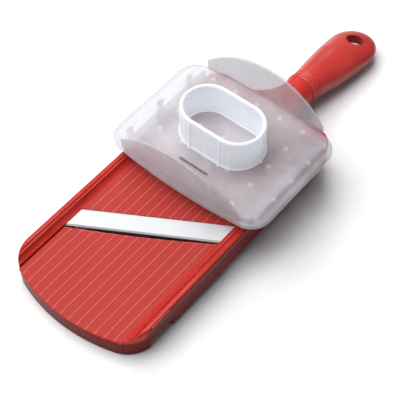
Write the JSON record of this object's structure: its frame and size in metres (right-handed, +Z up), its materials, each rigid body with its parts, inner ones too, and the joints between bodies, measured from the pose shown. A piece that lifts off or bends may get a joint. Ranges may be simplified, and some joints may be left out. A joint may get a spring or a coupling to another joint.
{
  "type": "mandoline slicer",
  "caption": "Adjustable handheld mandoline slicer with a diagonal ceramic blade, tilting ribbed ramp, sliding clear hand guard and rounded handle with a hang hole.",
  "frame": {"origin": "centre of the bounding box's bottom, on the surface the slicer rests on", "axes": "+X from the tip towards the handle, +Y to the left of someone holding the handle, +Z up; the runway rises 3.6 degrees towards the handle in the resting stance"},
  "size_m": [0.2827, 0.106, 0.0593],
  "materials": {
    "red_plastic": "satin",
    "dark_red_plastic": "satin",
    "clear_plastic": "polished",
    "white_ceramic": "ground",
    "steel": "drawn",
    "cam_plastic": "moulded"
  },
  "bodies": {
    "slicer_body": {"frame": "red_plastic", "ramp_hinge_rod": "steel", "blade": "white_ceramic", "blade_clamp_bar": "dark_red_plastic", "clamp_screws": "steel", "rod_bearing_left": "cam_plastic", "rod_bearing_right": "cam_plastic", "bearing_screws": "steel", "detent_spring": "steel", "detent_screw": "steel", "handle_collar": "red_plastic", "handle_grip": "red_plastic"},
    "ramp_plate": {"ramp": "red_plastic"},
    "cam_shaft": {"cam_rod": "steel", "cam_left": "cam_plastic", "cam_right": "cam_plastic", "thickness_dial": "dark_red_plastic"},
    "hand_guard": {"guard_shell": "clear_plastic", "guard_grip_ring": "clear_plastic", "guard_prongs": "clear_plastic"}
  },
  "joints": [
    {"name": "guard_slide", "type": "slide", "parent": "slicer_body", "child": "hand_guard", "axis": [0.998, 0, 0.063], "range_m": [-0.09, 0.006]},
    {"name": "dial_turn", "type": "hinge", "parent": "slicer_body", "child": "cam_shaft", "pos_m": [-0.09507, 0, 0.00759], "axis": [0, 1, 0], "range_deg": [0, 180]},
    {"name": "ramp_tilt", "type": "hinge", "parent": "slicer_body", "child": "ramp_plate", "pos_m": [-0.13053, 0, 0.00585], "axis": [0, 1, 0], "range_deg": [0, 2.7]}
  ],
  "couplings": [
    {"joint": "dial_turn", "follows": "ramp_tilt", "ratio": 66.66}
  ]
}
